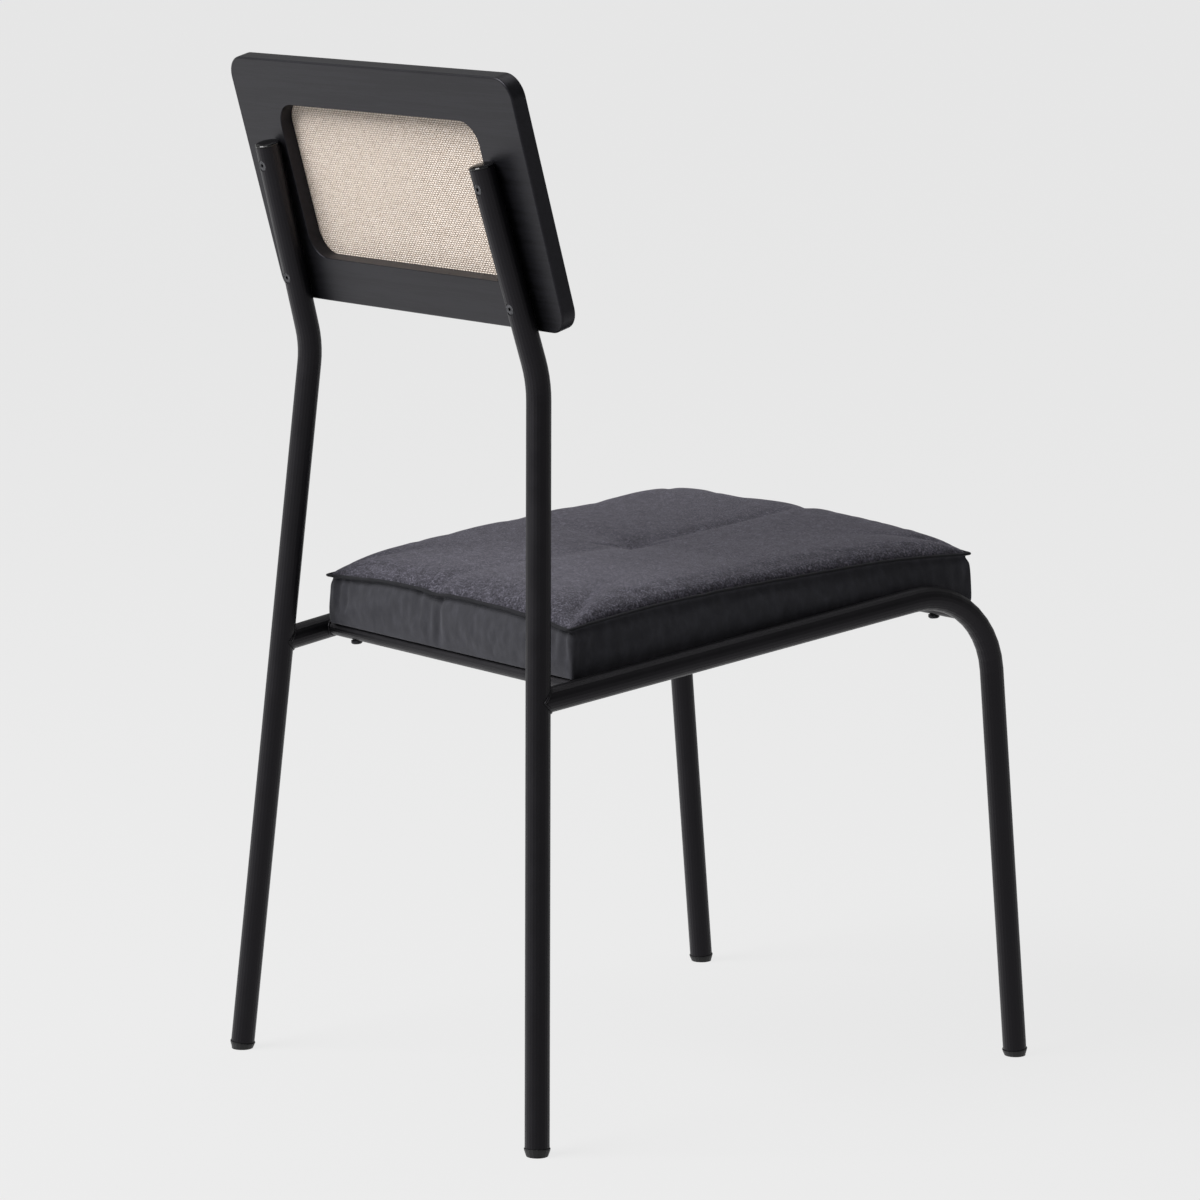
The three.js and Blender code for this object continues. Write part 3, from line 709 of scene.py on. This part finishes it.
dust_cells = 48
dust_points = []
for i in range(dust_cells + 1):
    for j in range(dust_cells + 1):
        s, t = -1 + 2 * i / dust_cells, -1 + 2 * j / dust_cells
        hollow = (1 - s ** 4) * (1 - t ** 4)
        ripple = 0.35 * noise.noise(Vector((s * 5, t * 5, 0.3)))
        puckers = 0.25 * math.sin(s * 29) * abs(t) ** 12 + 0.25 * math.sin(t * 31) * abs(s) ** 12
        dust_points.append(dust_point(s, t, 5.6 - hollow * (0.9 + ripple) + puckers * 0.6))
dust_piece = build(
    "seat_dust_sheet", dust_points,
    ring_faces(dust_cells + 1, dust_cells + 1, closed_around=False), [dust_cloth], "dust_cloth")
thick = dust_piece.modifiers.new("cloth_thickness", "SOLIDIFY")
thick.thickness = 0.3 * MM
thick.offset = 0
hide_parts("seat_dust_cloth")


def staple_points(centre, along, legs_up):
    """A flat wire staple: a crown and the tops of its two legs."""
    side = along.cross(legs_up).normalized()
    half, wide, high = 5.0, 0.6, 0.35
    line = [(-half, 0.6), (-half, -high), (half, -high), (half, 0.6)]
    return [centre + along * a + legs_up * b + side * w * wide + legs_up * h * high * 0.5
            for a, b in line for w, h in ((-1, -1), (1, -1), (1, 1), (-1, 1))]


staples, staple_faces = [], []
for side in range(4):
    for n in range(9):
        place = -0.9 + 1.8 * n / 8
        s, t = ((place, -0.965), (0.965, place), (-place, 0.965), (-0.965, -place))[side]
        centre = dust_point(s, t, 5.35)
        along = (dust_point(s + 0.01, t, 5.35) - centre if side % 2 == 0
                 else dust_point(s, t + 0.01, 5.35) - centre).normalized()
        lean = 0.25 * noise.noise(Vector((n * 1.7, side * 3.1, 0)))
        along = (along + seat_up.cross(along) * lean).normalized()
        first = len(staples)
        staples += staple_points(centre, along, seat_up)
        staple_faces += ring_faces(4, 4, start=first)
        staple_faces += [(first + 3, first + 2, first + 1, first),
                         (first + 12, first + 13, first + 14, first + 15)]
build("dust_sheet_staples", staples, staple_faces, [fixing_zinc], "fixing_zinc", sharp=30)


# ---------- back panel ----------
lean = math.radians(16)
lean_up = Vector((0, math.sin(lean), math.cos(lean)))
lean_back = Vector((0, math.cos(lean), -math.sin(lean)))
panel_centre = Vector((0, 238.533, 743.76))  # middle of the rear face

panel_width, panel_height, panel_corner, panel_thick = 384.0, 208.0, 18.5, 14.0
window_width, window_height, window_corner = 270.0, 131.5, 20.0
rebate, rebate_floor = 9.0, 11.3
edge_round, window_round = 1.8, 0.7


def panel_point(x, rise, depth):
    """A point of the leaning panel, this deep behind its rear face's plane."""
    return panel_centre + Vector((x, 0, 0)) + lean_up * rise - lean_back * depth


def rounded_loop(width, height, radius, steps=14):
    """Points once round a rounded rectangle."""
    loop = []
    for cx, cy, start in ((1, 1, 0), (-1, 1, 90), (-1, -1, 180), (1, -1, 270)):
        for n in range(steps + 1):
            a = math.radians(start + 90 * n / steps)
            loop.append((cx * (width / 2 - radius) + radius * math.cos(a),
                         cy * (height / 2 - radius) + radius * math.sin(a)))
    return loop


def outer_ring(inset, depth):
    """The panel's outline, drawn in by `inset`."""
    loop = rounded_loop(panel_width - 2 * inset, panel_height - 2 * inset, panel_corner - inset)
    return [panel_point(x, y, depth) for x, y in loop]


def window_ring(grow, depth):
    """The window's outline, let out by `grow`."""
    loop = rounded_loop(window_width + 2 * grow, window_height + 2 * grow, window_corner + grow)
    return [panel_point(x, y, depth) for x, y in loop]


def quarter(steps):
    """Angles through a quarter turn."""
    return [math.radians(90 * n / steps) for n in range(steps + 1)]


panel_rings = [outer_ring(edge_round * (1 - math.sin(a)), edge_round * (1 - math.cos(a)))
               for a in quarter(6)]
panel_rings += [outer_ring(edge_round * (1 - math.cos(a)),
                           panel_thick - edge_round * (1 - math.sin(a))) for a in quarter(6)]
panel_rings += [window_ring(rebate + window_round * (1 - math.sin(a)),
                            panel_thick - window_round * (1 - math.cos(a))) for a in quarter(3)]
panel_rings += [window_ring(rebate, rebate_floor), window_ring(0, rebate_floor)]
panel_rings += [window_ring(window_round * (1 - math.cos(a)), window_round * (1 - math.sin(a)))
                for a in quarter(4)]
loop_count = len(panel_rings[0])
back_panel = build(
    "back_panel", [p for ring in panel_rings for p in ring],
    ring_faces(len(panel_rings), loop_count, closed_along=True), [board], "back_board", sharp=50)
outward(back_panel)
weighted = back_panel.modifiers.new("flat_faces_stay_flat", "WEIGHTED_NORMAL")
weighted.keep_sharp = True
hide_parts("back_frame")

# the woven sheet: real threads over and under each other, over a dark ground cloth that is painted
# shade in the gaps between the threads
rebate_corner, weave_room = 26.0, 0.3
weave_width = window_width + 2 * rebate - 2 * weave_room
weave_height = window_height + 2 * rebate - 2 * weave_room
weave_corner = rebate_corner - weave_room
weave_depth = 12.0
thread_pitch = 1.8
warp_half_width, weft_half_width, thread_half_thick = 0.62, 0.74, 0.17
crossing_rise = 0.21


def reach_at(offset, length, breadth, radius):
    """Half length of a thread lying `offset` from the middle of a rounded rectangle."""
    beyond = abs(offset) - (breadth / 2 - radius)
    if beyond <= 0:
        return length / 2
    return length / 2 - radius + math.sqrt(max(radius * radius - beyond * beyond, 0))


def threads(count, other_count, length, breadth, wide, place, parity):
    """All the threads of one direction; place(offset, run, depth) puts a point in the panel."""
    made, made_faces = [], []
    for n in range(count):
        offset = (n - (count - 1) / 2) * thread_pitch
        reach = reach_at(offset, length, breadth, weave_corner)
        steps = [m for m in range(other_count)
                 if abs((m - (other_count - 1) / 2) * thread_pitch) < reach]
        first = len(made)
        for m in steps:
            run = (m - (other_count - 1) / 2) * thread_pitch
            seed = Vector((offset * 0.21, run * 0.17, parity * 7.0))
            drift = 0.08 * noise.noise(seed)
            swell = 1 + 0.10 * noise.noise(seed * 2.3)
            over = crossing_rise if (n + m + parity) % 2 else -crossing_rise
            for across, deep in ((-wide * swell, 0), (0, -thread_half_thick),
                                 (wide * swell, 0), (0, thread_half_thick)):
                made.append(place(offset + drift + across, run, weave_depth + over + deep))
        made_faces += ring_faces(len(steps), 4, start=first)
        last = first + (len(steps) - 1) * 4
        made_faces += [(first + 3, first + 2, first + 1, first),
                       (last, last + 1, last + 2, last + 3)]
    return made, made_faces


warps = int(weave_width / thread_pitch)
wefts = int(weave_height / thread_pitch)
build(
    "weave_warp",
    *threads(warps, wefts, weave_height, weave_width, warp_half_width,
             lambda offset, run, depth: panel_point(offset, run, depth), 0),
    [warp_thread], "back_weave")
build(
    "weave_weft",
    *threads(wefts, warps, weave_width, weave_height, weft_half_width,
             lambda offset, run, depth: panel_point(run, offset, depth), 1),
    [weft_thread], "back_weave")

ground_loop = rounded_loop(weave_width, weave_height, weave_corner, steps=6)
ground_rings = [[panel_point(x * share, y * share, weave_depth) for x, y in ground_loop]
                for share in (1.0, 0.75, 0.5, 0.25)]
ground_points = [p for ring in ground_rings for p in ring]
ground_faces = ring_faces(4, len(ground_loop))
ground_faces.append(tuple(range(3 * len(ground_loop), 4 * len(ground_loop))))
# the dark ground sheet behind the threads stands in for the shade in their gaps: painted shade
ground = build("weave_ground_painted_shade", ground_points, ground_faces, [painted_gap_shade], "back_weave")
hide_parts("back_weave")


# ---------- welds ----------
kink_point = Vector((156.0, 209.459, 605.0))
rear_foot = Vector((208.0, 250.459, 0.0))
knee_x = 209.3
knee_tangent = Vector((0.03, -0.67, -0.74))
bead_radius, ripple_length = 1.15, 2.1


def weld_path(start, along, radius, other_start, other_axis, steps):
    """Where a tube's surface meets a main tube's surface, once round."""
    side = along.orthogonal().normalized()
    cross = along.cross(side)
    path = []
    for n in range(steps):
        a = 2 * math.pi * n / steps
        base = start + (side * math.cos(a) + cross * math.sin(a)) * radius
        run = along - other_axis * along.dot(other_axis)
        off = (base - other_start) - other_axis * (base - other_start).dot(other_axis)
        square, mixed, rest = run.dot(run), 2 * run.dot(off), off.dot(off) - tube_radius ** 2
        reach = (-mixed + math.sqrt(max(mixed * mixed - 4 * square * rest, 0))) / (2 * square)
        path.append(base + along * reach + (base - start).normalized() * 0.1 + along * 0.1)
    return path


def weld(name, start, along, radius, other_start, other_axis, replaced):
    """A bead of overlapping ripples along the line where two tubes meet."""
    steps, sides = 120, 8
    path = weld_path(start, along, radius, other_start, other_axis, steps)
    length = sum((path[(n + 1) % steps] - path[n]).length for n in range(steps))
    ripples = max(8, round(length / ripple_length))
    points = []
    for n in range(steps):
        here = path[n]
        tangent = (path[(n + 1) % steps] - path[n - 1]).normalized()
        out = (here - start - along * (here - start).dot(along)).normalized()
        third = tangent.cross(out).normalized()
        phase = (ripples * n / steps) % 1
        size = bead_radius * (0.86 + 0.24 * phase ** 0.6 + 0.08 * noise.noise(here * 0.5))
        for k in range(sides):
            a = 2 * math.pi * k / sides
            points.append(here + out * size * math.cos(a) + third * size * math.sin(a))
    piece = build(name, points, ring_faces(steps, sides, closed_along=True), [powder_coat],
                  "frame_steel")
    outward(piece)
    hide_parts(replaced)


def on_side(point, flip):
    """The point on the left for a flip of 1, its mirror image on the right for -1."""
    return Vector((point.x * flip, point.y, point.z))


rear_share = (rail_rear.y - rear_cross.y) / (rail_rear.y - rail_front.y)
for word, flip in (("left", 1), ("right", -1)):
    upright_axis = on_side(kink_point - rear_foot, flip).normalized()
    rail_axis = on_side(rail_front - rail_rear, flip).normalized()
    inward = Vector((-flip, 0, 0))
    rail_end = on_side(rail_rear, flip)
    weld("weld_bead_upright_" + word, rail_end, rail_axis, tube_radius,
         on_side(rear_foot, flip), upright_axis, "weld_upright_" + word)
    rear_end = on_side(rail_rear.lerp(rail_front, rear_share), flip)
    weld("weld_bead_cross_rear_" + word, rear_end, inward, cross_radius,
         rear_end, rail_axis, "weld_cross_rear_" + word)
    # the front cross rail meets the knee bend, here taken along its tangent
    front_end = on_side(Vector((knee_x, front_cross.y, front_cross.z)), flip)
    knee_axis = on_side(knee_tangent, flip).normalized()
    weld("weld_bead_cross_front_" + word, front_end, inward, cross_radius,
         front_end, knee_axis, "weld_cross_front_" + word)


# ---------- stage: floor, light, camera ----------
floor_half = 60.0
floor_mesh = bpy.data.meshes.new("floor")
floor_mesh.from_pydata(
    [(-floor_half, -floor_half, 0), (floor_half, -floor_half, 0),
     (floor_half, floor_half, 0), (-floor_half, floor_half, 0)], [], [(0, 1, 2, 3)])
floor_mesh.materials.append(pale_floor())
floor = bpy.data.objects.new("floor", floor_mesh)
bpy.context.scene.collection.objects.link(floor)
floor.visible_diffuse = floor.visible_glossy = False  # its bounce comes from the lower sky


def soft_light(name, place, aim, size, watts):
    """A large square diffuser."""
    lamp = bpy.data.lights.new(name, "AREA")
    lamp.shape = "SQUARE"
    lamp.size = size
    lamp.energy = watts
    made = bpy.data.objects.new(name, lamp)
    made.location = place
    made.rotation_mode = "QUATERNION"
    made.rotation_quaternion = (Vector(aim) - Vector(place)).to_track_quat("-Z", "Y")
    bpy.context.scene.collection.objects.link(made)


soft_light("key_diffuser", (0.9, 3.0, 3.1), (0, 0, 0.5), 2.6, 192)
soft_light("overhead_diffuser", (0.2, -0.6, 3.2), (0, 0, 0.4), 1.6, 9)

world = bpy.data.worlds.new("studio")
world.use_nodes = True
bpy.context.scene.world = world
sky = world.node_tree
sky.nodes.clear()
sky_out = add(sky, "ShaderNodeOutputWorld")
direction = add(sky, "ShaderNodeTexCoord").outputs["Generated"]
# the white floor round the chair lights it from below, most of all from its left
facing = add(sky, "ShaderNodeSeparateXYZ", {"Vector": direction})
lower = spread(sky, facing.outputs["Z"], -0.30, 0.20, 0.62, 0.18)
side = spread(sky, facing.outputs["X"], -0.3, 0.7, 0.95, 1.8)
glow = add(sky, "ShaderNodeMath", {0: lower, 1: side}, operation="MULTIPLY").outputs[0]
sky_light = add(sky, "ShaderNodeBackground", {"Color": linear("#ffffff"), "Strength": glow})
backdrop = add(sky, "ShaderNodeBackground", {"Color": linear(studio_white), "Strength": 1.0})
seen = add(sky, "ShaderNodeLightPath").outputs["Is Camera Ray"]
studio = add(sky, "ShaderNodeMixShader", {0: seen, 1: sky_light.outputs[0], 2: backdrop.outputs[0]})
sky.links.new(studio.outputs[0], sky_out.inputs["Surface"])

camera_azimuth, camera_elevation = math.radians(232.0), math.radians(9.5716)
camera_roll = math.radians(0.1371)
camera_target, camera_distance = Vector((0.0116, 0.01746, 0.390)), 4.0462
camera_back = Vector((math.sin(camera_azimuth) * math.cos(camera_elevation),
                      -math.cos(camera_azimuth) * math.cos(camera_elevation),
                      math.sin(camera_elevation)))
level_right = (-camera_back).cross(Vector((0, 0, 1))).normalized()
level_up = level_right.cross(-camera_back)
camera_right = level_right * math.cos(camera_roll) + level_up * math.sin(camera_roll)
camera_up = level_up * math.cos(camera_roll) - level_right * math.sin(camera_roll)
camera_data = bpy.data.cameras.new("camera")
camera_data.lens = 144.86
camera_data.sensor_width = 36.0
camera_data.clip_end = 300.0
camera = bpy.data.objects.new("camera", camera_data)
bpy.context.scene.collection.objects.link(camera)
camera.matrix_world = Matrix.Translation(camera_target + camera_back * camera_distance) @ Matrix(
    (camera_right, camera_up, camera_back)).transposed().to_4x4()
bpy.context.scene.camera = camera
bpy.context.scene.view_settings.view_transform = "Standard"
